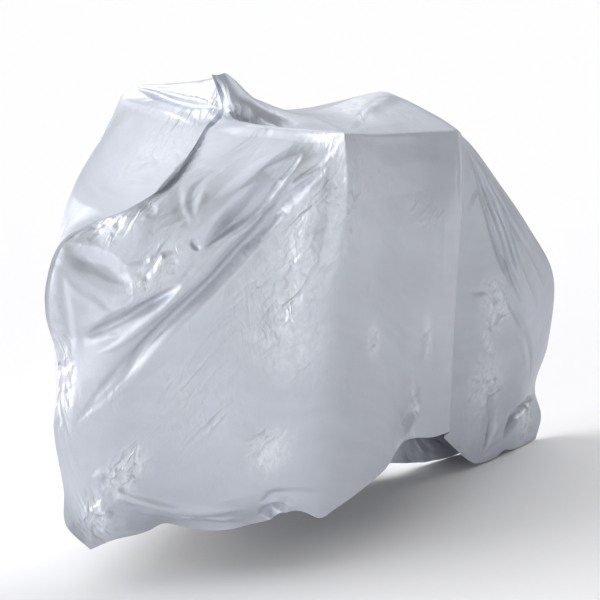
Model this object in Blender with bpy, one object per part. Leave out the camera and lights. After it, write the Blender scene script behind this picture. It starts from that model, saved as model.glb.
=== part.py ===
"""Draped bicycle cover: one film bag, open along the bottom, hanging over a bicycle that stands inside it.

Frame: metres, +Z up, front wheel towards -X, left-hand grip towards -Y.
Origin: just under the top film, where it lies on the saddle. The drape itself is drawn in centimetres from the
ground under the middle of the bicycle, and then moved by SHIFT.

The bag is a single length of film folded over along its top and welded up both ends. It touches the bicycle only
at the handlebar, the saddle, the tail and the rims of the wheels, and falls from there to an uneven hem. Its drape
is given as fall lines: each starts on the top fold, passes the valley behind the handlebar (collar) and the taut
shoulder (ridge), then drops past chest, waist, hip and band to the hem. Folds lie on top of that as rounded
troughs and crests.
"""
import math

import bmesh
import bpy
import numpy as np
from mathutils import Vector
from mathutils.bvhtree import BVHTree

for leftover in list(bpy.data.objects):
    bpy.data.objects.remove(leftover, do_unlink=True)

# ---------------------------------------------------------------- driving dimensions
FILM_THICKNESS = 0.002          # the film and the air its fine crinkles hold, metres
SHIFT = (-0.2, 0.0, -1.0195)     # from the ground under the bicycle's middle to the top of its saddle, metres
FILM_COLOUR = (0.66, 0.68, 0.72, 1.0)
FILM_ROUGHNESS = 0.38
FILM_METALLIC = 0.25

# the drape is first drawn with this many strips between neighbouring fall lines and between neighbouring levels,
# then thinned to flat facets that keep the folds
STRIPS_ROUND = (14, 12, 14, 12, 14, 16, 16, 10, 8, 10, 14)
STRIPS_DOWN = (6, 8, 12, 16, 18, 18, 12)
FACETS = 4600                   # facets kept on the outer skin

CM = 0.01

# crown line of the bag: where each fall line leaves the top fold (x, z), cm
CROWN = [
    ("weld_front", -36.2, 113.0), ("nose_1", -34.2, 112.7), ("nose_2", -31.8, 112.8), ("nose_3", -28.6, 110.6),
    ("grip", -23.6, 106.2), ("sag", -7.0, 100.6), ("saddle_front", 17.0, 103.1), ("saddle_rear", 26.5, 100.7),
    ("corner", 38.0, 95.4), ("tail_1", 42.0, 92.5), ("tail_2", 45.0, 91.0), ("weld_rear", 47.0, 89.9),
]
# fall lines of the near half. heading: plan direction in which the line bellies (degrees, 0 = rearward, -90 = near side)
#            heading  collar (x,y,z)        ridge (x,y,z)           chest (x,y,z)       waist hip band   hem (x,y,z)
NEAR = [
    ("nose_1",       -160, (-33.5, -3.0, 104.6), (-37.0, -10.0, 101.4), (-64.0, -12.5, 85.5), 6.0, 7.0, 6.5, (-69.0, -3.0, 8.3)),
    ("nose_2",       -135, (-32.5, -6.0, 103.4), (-33.5, -16.5, 101.8), (-53.0, -19.0, 88.5), 6.0, 8.0, 8.0, (-55.0, -6.0, 7.8)),
    ("nose_3",       -120, (-29, -9.5, 102.4), (-30.0, -23.0, 102.0), (-40.0, -26.0, 93.0), 2.0, 4.0, 5.0, (-43.0, -18.0, 10.5)),
    ("grip",         -102, (-22, -13.0, 101.4), (-26.0, -33.5, 102.5), (-25.5, -34.0, 86.0), 0.0, 1.0, 0.0, (-29.0, -29.0, 10.8)),
    ("sag",           -90, (-4.0, -13.0, 100.6), (-9.0, -27.0, 99.3), (-8.0, -28.0, 84.0), 0.0, 0.0, 0.0, (-5.0, -26.0, 15.0)),
    ("saddle_front",  -85, (13.0, -7.0, 101.0), (14.0, -18.0, 95.8), (11.0, -22.0, 82.0), 1.0, 1.0, 0.0, (5.0, -23.5, 20.0)),
    ("saddle_rear",   -70, (28.0, -4.0, 98.6), (36.0, -10.0, 92.5), (33.0, -15.5, 80.0), 0.0, 0.0, 0.0, (27.0, -18.0, 16.0)),
    ("corner",        -70, (39.0, -3.0, 94.0), (42.0, -6.5, 90.7), (40.0, -8.0, 80.0), -1.0, -2.0, -1.0, (37.5, -7.0, 9.0)),
    ("tail_1",        -60, (44.0, -2.5, 90.0), (47.0, -5.0, 85.0), (52.0, -6.0, 70.0), 0.0, 0.0, 0.0, (50.0, -7.0, -1.2)),
    ("tail_2",        -30, (48.5, -2.0, 86.6), (54.0, -4.0, 80.0), (65.5, -6.0, 61.0), 3.0, 3.0, 1.0, (68.0, -5.0, -2.0)),
]
FAR = [
    ("nose_1",        160, (-34.5, 5.0, 108.6), (-39.0, 8.0, 101.6), (-69.0, 10.5, 87.6), 6.5, 5.5, 5.0, (-68.0, 5.0, 8.5)),
    ("nose_2",        140, (-35.0, 12.0, 108.5), (-38.6, 22.5, 103.4), (-54.0, 23.0, 93.6), 5.5, 7.0, 7.0, (-56.0, 12.0, 9.0)),
    ("nose_3",        115, (-36.5, 25.0, 107.7), (-37.5, 32.5, 104.4), (-43.0, 33.5, 91.5), 3.0, 5.0, 5.0, (-44.0, 22.0, 9.0)),
    ("grip",          100, (-28.0, 18.0, 104.5), (-31.0, 31.5, 102.5), (-31.0, 33.0, 86.0), 1.0, 2.0, 2.0, (-32.0, 25.0, 8.0)),
    ("sag",            90, (-8.0, 12.0, 99.6), (-10.0, 25.0, 98.5), (-9.0, 29.0, 84.0), 2.0, 2.0, 1.0, (-9.0, 23.0, 6.5)),
    ("saddle_front",   85, (13.0, 8.0, 99.8), (13.0, 17.0, 96.0), (13.0, 22.0, 82.0), 2.0, 2.0, 1.0, (12.0, 16.0, 3.5)),
    ("saddle_rear",    80, (29.0, 4.5, 98.0), (32.0, 9.0, 93.0), (31.0, 13.0, 80.0), 1.5, 1.0, 0.5, (28.0, 5.0, 1.2)),
    ("corner",         75, (40.0, 3.5, 92.6), (43.0, 6.5, 88.0), (44.0, 8.0, 78.0), 1.0, 0.5, 0.0, (41.0, 4.0, -1.6)),
    ("tail_1",         60, (45.0, 2.6, 89.5), (49.0, 5.0, 84.0), (53.0, 7.0, 71.0), 1.0, 1.0, 0.5, (52.0, 3.5, -2.4)),
    ("tail_2",         30, (49.0, 2.2, 86.0), (54.5, 4.2, 79.5), (65.0, 6.5, 61.0), 3.0, 3.0, 1.0, (65.0, 2.5, -1.2)),
]
BELLY_AT = (0.28, 0.58, 0.90)          # how far down waist, hip and band lie between chest and hem
LEVELS = ("crown", "collar", "ridge", "chest", "waist", "hip", "band", "hem")
# the two end welds, level by level (x, y, z); extra rows follow the puckers between levels
WELD_FRONT = [
    (0.00, -36.2, 0.0, 113.0), (1.00, -33.3, 0.0, 105.0), (1.50, -34.9, 0.0, 103.4), (2.00, -39.2, -0.5, 100.5),
    (2.33, -48.6, -6.6, 97.2), (2.68, -59.7, -9.7, 91.0), (2.95, -69.4, -7.1, 86.5), (3.15, -74.2, -2.4, 84.0),
    (3.32, -80.2, 0.0, 80.5), (3.55, -84.8, 0.0, 71.5), (3.72, -85.2, 0.0, 65.5), (4.00, -82.8, 0.0, 56.0), (5.00, -84.0, 0.0, 38.0), (6.00, -81.8, 0.0, 22.6), (6.60, -81.0, 0.0, 13.2), (7.00, -75.5, -1.0, 6.8),
]
WELD_REAR = [
    (0.00, 47.0, 0.0, 89.9), (1.00, 54.2, 0.0, 84.4), (2.00, 64.2, 0.0, 74.0), (3.00, 77.6, 0.0, 59.2),
    (4.00, 89.0, 0.0, 43.0), (5.00, 87.6, 0.0, 24.0), (6.00, 82.6, 0.0, 10.6), (6.50, 84.4, -1.0, 3.4), (7.00, 80.0, -3.0, -2.2),
]

# how sharply the film turns (0 soft, 1 a corner): over each fall line, at the ridge and at the hem
LINE_TURNS = [
    ("weld_front", 0.0, 0.0), ("nose_1", 0.2, 0.2), ("nose_2", 0.2, 0.2), ("nose_3", 0.6, 0.3), ("grip", 0.9, 0.0),
    ("sag", 0.1, 0.1), ("saddle_front", 0.1, 0.1), ("saddle_rear", 0.3, 0.2), ("corner", 0.9, 0.7),
    ("tail_1", 0.3, 0.3), ("tail_2", 0.3, 0.3), ("weld_rear", 0.0, 0.0),
]
# and across each level of a fall line
LEVEL_TURNS = [
    ("crown", 0.0), ("collar", 0.4), ("ridge", 0.8), ("chest", 0.3), ("waist", 0.2), ("hip", 0.2), ("band", 0.3),
    ("hem", 0.0),
]

# where the hem hitches up (plus) or hangs down (minus): at which fall line, how far to either side, cm
NEAR_HITCHES = [
    ("front_hitch", 1.85, 0.28, 1.4), ("belly_sag", 2.65, 0.55, -2.4), ("notch_hitch", 3.66, 0.25, 2.4),
    ("tip_sag", 4.02, 0.14, -1.0), ("curtain_sag", 6.6, 0.30, -1.0), ("tail_hitch", 9.75, 0.16, 1.0),
]
FAR_HITCHES = [
    ("front_hitch", 1.4, 0.40, 1.5), ("grip_sag", 3.2, 0.35, -1.8), ("middle_hitch", 4.6, 0.45, 2.0),
    ("saddle_sag", 6.0, 0.30, -1.0), ("tail_hitch", 10.2, 0.25, 1.0),
]


def spline(t_knots, values, t, crisp=None):
    """Cubic through values at rising knots. A knot is smooth, or turns more sharply as its crispness goes to 1."""
    k = np.asarray(t_knots, float)
    v = np.asarray(values, float)
    t = np.atleast_1d(np.asarray(t, float))
    step = np.diff(k)[:, None]
    slope = np.diff(v, axis=0) / step
    m = np.empty_like(v)
    m[0], m[-1] = slope[0], slope[-1]
    m[1:-1] = (step[1:] * slope[:-1] + step[:-1] * slope[1:]) / (step[1:] + step[:-1])
    arrive, leave = m.copy(), m.copy()
    if crisp is not None:
        arrive[1:] += crisp[1:] * (slope - m[1:])
        leave[:-1] += crisp[:-1] * (slope - m[:-1])
    i = np.clip(np.searchsorted(k, t, side="right") - 1, 0, len(k) - 2)
    h = (k[i + 1] - k[i])[:, None]
    s = ((t - k[i])[:, None]) / h
    return ((2 * s**3 - 3 * s**2 + 1) * v[i] + (s**3 - 2 * s**2 + s) * h * leave[i]
            + (3 * s**2 - 2 * s**3) * v[i + 1] + (s**3 - s**2) * h * arrive[i + 1])


def weld_line(rows, v):
    return spline([r[0] for r in rows], [r[1:] for r in rows], v)


def fall_lines(rows):
    """Eight level points on each fall line, from the front weld to the rear weld."""
    levels = np.arange(len(LEVELS), dtype=float)
    lines = [weld_line(WELD_FRONT, levels)]
    for (name, heading, collar, ridge, chest, waist, hip, band, hem), (_, cx, cz) in zip(rows, CROWN[1:-1]):
        out = np.array([math.cos(math.radians(heading)), math.sin(math.radians(heading)), 0.0])
        chest, hem = np.array(chest), np.array(hem)
        pts = [(cx, 0.0, cz), collar, ridge, chest]
        pts += [chest + (hem - chest) * f + out * b for f, b in zip(BELLY_AT, (waist, hip, band))]
        pts.append(hem)
        lines.append(np.array(pts, float))
    lines.append(weld_line(WELD_REAR, levels))
    return np.array(lines)


def film(rows, u, v):
    """Base drape of one half: u counts fall lines from the front weld, v counts levels from the crown. Metres."""
    u, v = np.asarray(u, float), np.asarray(v, float)
    lines = fall_lines(rows)
    levels = np.arange(lines.shape[1], dtype=float)
    n = len(lines) - 1
    level_turns = np.array([turn for _, turn in LEVEL_TURNS])[:, None]
    cols = np.array([spline(levels, line, v, level_turns) for line in lines])
    pucker_f = weld_line(WELD_FRONT, v) - cols[0]
    pucker_r = weld_line(WELD_REAR, v) - cols[-1]
    lower = np.clip((v - 2.0) / 1.6, 0, 1)
    line_turns = np.array([top + (bottom - top) * lower for _, top, bottom in LINE_TURNS])
    s = spline(np.arange(n + 1), cols.reshape(n + 1, -1), u, np.repeat(line_turns, 3, axis=1))
    s = s.reshape(len(u), len(v), 3)
    s += (np.clip(1 - u, 0, 1) ** 2)[:, None, None] * pucker_f
    s += (np.clip(1 - (n - u), 0, 1) ** 2)[:, None, None] * pucker_r
    low = np.clip((v - 5.4) / 1.6, 0, 1) ** 2
    for name, at, reach, rise in NEAR_HITCHES if rows is NEAR else FAR_HITCHES:
        s[..., 2] += rise * np.exp(-(((u - at) / reach) ** 2))[:, None] * low
    return s * CM


def film_at(rows, path):
    """Points of the base drape under a path of (u, v) pairs."""
    return np.array([film(rows, [a], [b])[0, 0] for a, b in path])


def outward(grid, side):
    """Unit normals of a film grid, pointing away from the bicycle. side is -1 near, +1 far."""
    du = np.gradient(grid, axis=0)
    dv = np.gradient(grid, axis=1)
    n = np.cross(dv, du) if side < 0 else np.cross(du, dv)
    length = np.linalg.norm(n, axis=2, keepdims=True)
    return n / np.maximum(length, 1e-9)


# folds: half, height in cm (minus is a trough), width to either side in cm, roundness, way points (fall line, level)
FOLDS = [
    ("behind_bar_near", "near", -2.0, 1.6, 2.0, 2, [(0.96, 0.86), (2.6, 0.7), (3.26, 0.72), (3.7, 0.88), (3.6, 1.36)]),
    ("behind_bar_far", "far", -1.0, 1.6, 1.6, 2, [(2.3, 1.45), (1.9, 1.55), (1.5, 1.6), (0.9, 1.65)]),
    ("front_seam", "near", -1.0, 1.2, 1.8, 2, [(0.18, 2.02), (0.28, 2.2), (0.44, 2.32), (0.66, 2.46), (0.86, 2.58)]),
    ("nose_hollow", "near", -1.0, 1.6, 1.6, 2, [(0.0, 3.32), (0.26, 3.4), (0.52, 3.44), (0.92, 3.64)]),
    ("brow_crease", "near", -2.4, 1.1, 4.2, 1.3, [(3.24, 2.48), (3.14, 2.86), (2.96, 3.16), (2.76, 3.32), (2.54, 3.38), (2.28, 3.42), (2.02, 3.46)]),
    ("brow_wedge", "near", -1.6, 1.6, 1.4, 2, [(1.7, 3.78), (1.48, 3.84), (1.24, 3.92), (0.94, 4.0), (0.68, 4.0), (0.44, 4.02)]),
    ("upper_valley", "near", -0.8, 1.2, 1.2, 2, [(3.84, 2.16), (3.36, 2.76), (3.12, 3.14), (2.84, 3.36)]),
    ("long_ridge", "near", 1.0, 1.6, 1.8, 2, [(3.92, 2.1), (3.32, 2.88), (2.84, 3.32), (2.34, 3.56), (2.06, 3.72), (1.72, 3.88), (1.38, 4.04), (0.92, 4.24), (0.6, 4.26)]),
    ("long_valley", "near", -1.5, 1.6, 2.4, 1.6, [(3.8, 2.28), (3.34, 3.04), (2.92, 3.5), (2.56, 3.64), (2.16, 3.84), (1.88, 3.96), (1.48, 4.2), (1.12, 4.5), (0.72, 4.74), (0.32, 5.02)]),
    ("centre_ridge", "near", 0.7, 1.8, 1.8, 2, [(3.76, 2.4), (3.56, 2.96), (3.44, 3.44), (3.4, 3.9)]),
    ("centre_valley", "near", -0.9, 1.8, 1.8, 2, [(3.94, 2.26), (3.8, 2.86), (3.72, 3.44), (3.64, 3.84)]),
    ("low_valley", "near", -0.8, 2.0, 2.0, 2, [(3.08, 4.04), (3.1, 4.24), (3.24, 4.62), (3.44, 4.74), (3.78, 4.8)]),
    ("belly_edge", "near", 0.8, 1.4, 1.2, 1.4, [(1.04, 5.68), (1.54, 5.84), (1.96, 5.98), (2.48, 6.16), (2.94, 6.28)]),
    ("belly_under", "near", -2.2, 2.0, 2.6, 2, [(1.02, 5.84), (1.52, 6.12), (2.0, 6.68), (2.48, 6.78), (2.96, 6.84)]),
    ("notch", "near", -3.0, 1.8, 2.0, 2, [(3.35, 6.25), (3.35, 7.0)]),
    ("bar_to_saddle", "near", 1.0, 1.4, 1.4, 2, [(4.88, 1.14), (5.6, 0.98), (6.16, 0.74), (6.88, 0.18)]),
    ("curtain_ridge", "near", 1.4, 1.4, 1.8, 2, [(6.26, 5.6), (6.2, 5.88), (6.04, 6.32), (5.56, 7.0)]),
    ("tail_valley_a", "near", -1.5, 1.5, 1.5, 2, [(9.0, 1.9), (9.2, 2.25), (9.15, 2.75), (9.25, 3.05), (9.4, 3.35), (9.65, 3.7), (9.9, 4.15)]),
    ("tail_ridge", "near", 0.8, 1.2, 1.2, 2, [(9.4, 2.0), (9.6, 2.3), (9.65, 2.7), (9.7, 3.15), (10.0, 3.65), (10.25, 4.15)]),
    ("tail_valley_b", "near", -1.2, 1.4, 1.4, 2, [(9.6, 2.1), (9.7, 2.5), (9.8, 2.8), (9.9, 3.25), (10.15, 3.8), (10.35, 4.3)]),
    ("tip_valley", "near", -1.2, 1.5, 1.5, 2, [(9.24, 5.32), (9.34, 5.56), (9.32, 5.88), (9.14, 6.6)]),
    ("corner_slit", "near", -2.4, 1.3, 1.6, 2, [(10.82, 5.96), (10.06, 5.76), (9.8, 5.92), (9.64, 6.2)]),
    ("far_upper_valley", "far", -1.3, 1.5, 1.5, 2, [(3.0, 2.3), (2.55, 2.7), (2.0, 3.1), (1.4, 3.4), (0.8, 3.6)]),
    ("far_long_ridge", "far", 1.1, 1.6, 1.6, 2, [(3.5, 2.2), (3.1, 2.75), (2.6, 3.25), (2.0, 3.7), (1.3, 4.05), (0.7, 4.3)]),
    ("far_long_valley", "far", -1.8, 1.8, 1.8, 2, [(3.6, 2.3), (3.3, 2.9), (2.8, 3.5), (2.2, 3.95), (1.5, 4.5), (0.8, 5.15)]),
    ("far_drop", "far", -1.1, 2.2, 2.2, 2, [(3.95, 2.2), (4.1, 3.0), (4.3, 4.0), (4.35, 5.1)]),
    ("far_sag_valley", "far", -1.3, 2.4, 2.4, 2, [(6.6, 1.9), (6.1, 2.7), (5.7, 3.7), (5.45, 5.0), (5.4, 6.0)]),
    ("far_corner_valley", "far", -1.3, 1.8, 1.8, 2, [(8.2, 2.0), (8.0, 2.9), (7.9, 3.9), (7.9, 5.2)]),
    ("far_tail_valley_a", "far", -1.3, 1.5, 1.5, 2, [(8.9, 1.9), (9.2, 2.5), (9.35, 3.1), (9.6, 3.8), (9.8, 4.5)]),
    ("far_tail_valley_b", "far", -1.1, 1.5, 1.5, 2, [(9.5, 1.95), (9.75, 2.6), (9.95, 3.3), (10.3, 3.95)]),
    ("far_tip_valley", "far", -1.2, 1.6, 1.6, 2, [(9.5, 5.0), (9.65, 5.7), (9.7, 6.4), (9.75, 7.0)]),
    ("far_hem_gather_a", "far", -1.8, 2.2, 2.2, 2, [(2.7, 6.1), (2.55, 7.0)]),
    ("far_hem_gather_b", "far", -1.8, 2.4, 2.4, 2, [(6.6, 6.0), (6.45, 7.0)]),
]


def fold_relief(grid, normals, rows, half, u, v, folds):
    """Outward displacement, in metres, that the folds of one half give each point of its grid."""
    relief = np.zeros(grid.shape[:2])
    uu, vv = np.meshgrid(u, v, indexing="ij")
    for name, side, depth, left, right, power, path in folds:
        if side != half:
            continue
        path = np.array(path, float)
        t = np.linspace(0.0, len(path) - 1.0, (len(path) - 1) * 6 + 1)
        run = film_at(rows, spline(np.arange(len(path)), path, t))
        reach = 2.6 * max(left, right) * CM
        window = (uu > path[:, 0].min() - 1.2) & (uu < path[:, 0].max() + 1.2)
        window &= (vv > path[:, 1].min() - 1.2) & (vv < path[:, 1].max() + 1.2)
        window &= np.all((grid > run.min(axis=0) - reach) & (grid < run.max(axis=0) + reach), axis=2)
        if not window.any():
            continue
        p, n = grid[window], normals[window]
        a, ab = run[:-1], np.diff(run, axis=0)
        length = np.linalg.norm(ab, axis=1)
        s = np.einsum("pki,ki->pk", p[:, None] - a[None], ab) / np.maximum(length**2, 1e-12)
        s = np.clip(s, 0.0, 1.0)
        away = p[:, None] - (a[None] + s[..., None] * ab[None])
        dist = np.linalg.norm(away, axis=2)
        k = np.argmin(dist, axis=1)
        i = np.arange(len(p))
        hand = np.einsum("pi,pi->p", np.cross(ab[k], n), away[i, k])
        start = np.concatenate([[0.0], np.cumsum(length)])
        where = (start[k] + s[i, k] * length[k]) / start[-1]
        width = np.where(hand > 0, right, left) * CM
        taper = np.sqrt(np.clip(np.sin(np.pi * np.clip(where, 0.0, 1.0)), 0.0, 1.0))
        relief[window] += depth * CM * np.exp(-((dist[i, k] / width) ** power)) * taper
    fade = np.clip(np.minimum(uu, len(CROWN) - 1 - uu) / 0.3, 0, 1) * np.clip(vv / 0.35, 0, 1)
    return relief * fade


def stations(strips):
    """Rising parameters with the given number of strips between whole numbers."""
    return np.concatenate([[i + j / n for j in range(n)] for i, n in enumerate(strips)] + [[float(len(strips))]])


def quads(ids, outwards_ccw):
    """Two triangles per cell of a grid of point numbers."""
    faces = []
    for i in range(ids.shape[0] - 1):
        for j in range(ids.shape[1] - 1):
            a, b, c, d = int(ids[i, j]), int(ids[i, j + 1]), int(ids[i + 1, j + 1]), int(ids[i + 1, j])
            rising = ((i + j) % 2 or i + j == 0) and not (j == 0 and i == ids.shape[0] - 2)
            cell = [(a, b, c), (a, c, d)] if rising else [(a, b, d), (b, c, d)]
            faces += cell if outwards_ccw else [f[::-1] for f in cell]
    return faces


def room_behind(points, normals, tree, skip=1e-4):
    """Distance from each point, straight inwards, to the next layer of the bag."""
    room = np.full(len(points), 1.0)
    for i, (p, n) in enumerate(zip(points, normals)):
        inwards = -Vector(n)
        hit = tree.ray_cast(Vector(p) + inwards * skip, inwards, 1.0)
        if hit[0] is not None:
            room[i] = hit[3] + skip
    return room


def folded(half, other, rows, side, u, v, folds):
    """One half of the bag with its folds, none of them pressed through the half behind it."""
    normals = outward(half, side)
    relief = fold_relief(half, normals, rows, "near" if side < 0 else "far", u, v, folds)
    ids = np.arange(half.shape[0] * half.shape[1]).reshape(half.shape[:2])
    behind = BVHTree.FromPolygons([Vector(p) for p in other.reshape(-1, 3)], quads(ids, True))
    room = room_behind(half.reshape(-1, 3), normals.reshape(-1, 3), behind).reshape(relief.shape)
    limit = 0.4 * room + 1e-6
    relief = np.where(relief < 0.0, -limit * np.tanh(-relief / limit), relief)
    return half + normals * relief[..., None]


def bag_surface():
    """Outer skin of the whole bag: one set of points, the halves sharing the top fold and the end welds."""
    u, v = stations(STRIPS_ROUND), stations(STRIPS_DOWN)
    near, far = film(NEAR, u, v), film(FAR, u, v)
    near, far = folded(near, far, NEAR, -1, u, v, FOLDS), folded(far, near, FAR, 1, u, v, FOLDS)
    nu, nv = len(u), len(v)
    ids_near = np.arange(nu * nv).reshape(nu, nv)
    ids_far = ids_near.copy()
    own = np.ones((nu, nv), bool)
    own[0], own[-1], own[:, 0] = False, False, False
    ids_far[own] = nu * nv + np.arange(own.sum())
    points = np.concatenate([near.reshape(-1, 3), far[own]])
    return points, quads(ids_near, True) + quads(ids_far, False)


def thinned(points, faces, count):
    """The same open surface drawn with fewer facets, small where it bends and large where it is flat."""
    mesh = bpy.data.meshes.new("drape")
    mesh.from_pydata([tuple(p) for p in points], [], faces)
    drape = bpy.data.objects.new("drape", mesh)
    bpy.context.scene.collection.objects.link(drape)
    fewer = drape.modifiers.new("fewer", "DECIMATE")
    fewer.ratio = count / len(faces)
    fewer.use_collapse_triangulate = True
    graph = bpy.context.evaluated_depsgraph_get()
    result = drape.evaluated_get(graph).to_mesh()
    points = np.array([v.co[:] for v in result.vertices])
    faces = [tuple(p.vertices) for p in result.polygons]
    bpy.data.objects.remove(drape, do_unlink=True)
    bpy.data.meshes.remove(mesh)
    return points, faces


def open_loop(faces):
    """Point numbers round the free edge, in the order in which the facets beside it run."""
    used = {(a, b) for f in faces for a, b in zip(f, f[1:] + f[:1])}
    step = {a: b for a, b in used if (b, a) not in used}
    loop = [min(step)]
    while step[loop[-1]] != loop[0]:
        loop.append(step[loop[-1]])
    return loop


def point_normals(points, faces):
    """Normals weighted by each facet's corner angle, and how squarely each point's facets meet them."""
    f = np.array(faces)
    cross = np.cross(points[f[:, 1]] - points[f[:, 0]], points[f[:, 2]] - points[f[:, 0]])
    unit = cross / np.maximum(np.linalg.norm(cross, axis=1, keepdims=True), 1e-12)
    normals = np.zeros_like(points)
    for k in range(3):
        a = points[f[:, (k + 1) % 3]] - points[f[:, k]]
        b = points[f[:, (k + 2) % 3]] - points[f[:, k]]
        cosine = np.einsum("fi,fi->f", a, b) / np.maximum(np.linalg.norm(a, axis=1) * np.linalg.norm(b, axis=1), 1e-12)
        np.add.at(normals, f[:, k], unit * np.arccos(np.clip(cosine, -1.0, 1.0))[:, None])
    normals /= np.maximum(np.linalg.norm(normals, axis=1, keepdims=True), 1e-12)
    square = np.ones(len(points))
    for k in range(3):
        np.minimum.at(square, f[:, k], np.einsum("fi,fi->f", unit, normals[f[:, k]]))
    return normals, square


def build_cover():
    points, faces = thinned(*bag_surface(), FACETS)
    hem = open_loop(faces)
    points = points + np.array(SHIFT)
    normals, square = point_normals(points, faces)
    tree = BVHTree.FromPolygons([Vector(p) for p in points], faces)
    depth = FILM_THICKNESS / np.clip(square, 0.5, 1.0)
    depth = np.minimum(depth, 0.35 * room_behind(points, normals, tree))
    inside = points - normals * depth[:, None]
    n = len(points)
    shell = faces + [tuple(k + n for k in f[::-1]) for f in faces]
    for a, b in zip(hem, hem[1:] + hem[:1]):
        shell += [(b, a, a + n), (b, a + n, b + n)]
    mesh = bpy.data.meshes.new("film_cover")
    mesh.from_pydata([tuple(p) for p in np.concatenate([points, inside])], [], shell)
    bm = bmesh.new()
    bm.from_mesh(mesh)
    bmesh.ops.recalc_face_normals(bm, faces=bm.faces)
    if bm.calc_volume(signed=True) < 0:
        bmesh.ops.reverse_faces(bm, faces=bm.faces)
    bm.to_mesh(mesh)
    bm.free()
    mesh.shade_smooth()
    mesh.set_sharp_from_angle(angle=math.radians(50))
    cover = bpy.data.objects.new("film_cover", mesh)
    bpy.context.scene.collection.objects.link(cover)
    return cover


def film_material():
    material = bpy.data.materials.new("silver_film")
    material.use_nodes = True
    shader = material.node_tree.nodes["Principled BSDF"]
    shader.inputs["Base Color"].default_value = FILM_COLOUR
    shader.inputs["Roughness"].default_value = FILM_ROUGHNESS
    shader.inputs["Metallic"].default_value = FILM_METALLIC
    return material


cover = build_cover()
cover.data.materials.append(film_material())
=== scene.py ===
"""Looks of the draped bicycle cover: a thin silver film bag over a bicycle, built as two halves that share the top
fold and both end welds. Every size is in the part's own frame."""
import math

import numpy as np
import bpy
from mathutils import Matrix, Vector, noise
from mathutils.bvhtree import BVHTree


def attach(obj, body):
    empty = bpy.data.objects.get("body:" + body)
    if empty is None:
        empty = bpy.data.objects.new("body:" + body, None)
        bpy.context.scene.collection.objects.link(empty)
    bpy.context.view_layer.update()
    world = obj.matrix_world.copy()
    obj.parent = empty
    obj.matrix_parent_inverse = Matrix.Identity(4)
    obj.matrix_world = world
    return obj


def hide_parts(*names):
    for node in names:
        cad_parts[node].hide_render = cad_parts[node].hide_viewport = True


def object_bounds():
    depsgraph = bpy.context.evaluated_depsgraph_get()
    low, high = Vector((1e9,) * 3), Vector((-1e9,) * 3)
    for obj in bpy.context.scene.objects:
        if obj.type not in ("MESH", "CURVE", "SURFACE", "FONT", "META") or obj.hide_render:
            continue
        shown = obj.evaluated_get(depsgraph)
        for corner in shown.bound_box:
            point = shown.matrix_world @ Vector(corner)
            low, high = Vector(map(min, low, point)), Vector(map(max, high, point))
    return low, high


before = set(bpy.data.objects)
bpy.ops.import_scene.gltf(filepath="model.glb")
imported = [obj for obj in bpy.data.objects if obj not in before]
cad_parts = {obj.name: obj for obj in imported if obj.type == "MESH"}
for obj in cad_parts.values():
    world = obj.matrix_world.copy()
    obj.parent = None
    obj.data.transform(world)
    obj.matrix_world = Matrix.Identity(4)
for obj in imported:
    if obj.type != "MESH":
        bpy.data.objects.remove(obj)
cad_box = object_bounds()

SHIFT = np.array((-0.2, 0.0, -1.0195))    # from the ground under the bicycle's middle to the top of its saddle, metres

# strips between neighbouring fall lines, and between neighbouring levels, of the fine film
STRIPS_ROUND = (50, 42, 50, 44, 28, 26, 24, 18, 20, 32, 28)
STRIPS_DOWN = (12, 24, 46, 62, 60, 44, 28)

CM = 0.01

# crown line of the bag: where each fall line leaves the top fold (x, z), cm
CROWN = [
    ("weld_front", -36.2, 113.0), ("nose_1", -34.2, 112.7), ("nose_2", -31.8, 112.8), ("nose_3", -28.6, 110.6),
    ("grip", -23.6, 106.2), ("sag", -7.0, 100.6), ("saddle_front", 17.0, 103.1), ("saddle_rear", 26.5, 100.7),
    ("corner", 38.0, 95.4), ("tail_1", 42.0, 92.5), ("tail_2", 45.0, 91.0), ("weld_rear", 47.0, 89.9),
]
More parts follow.
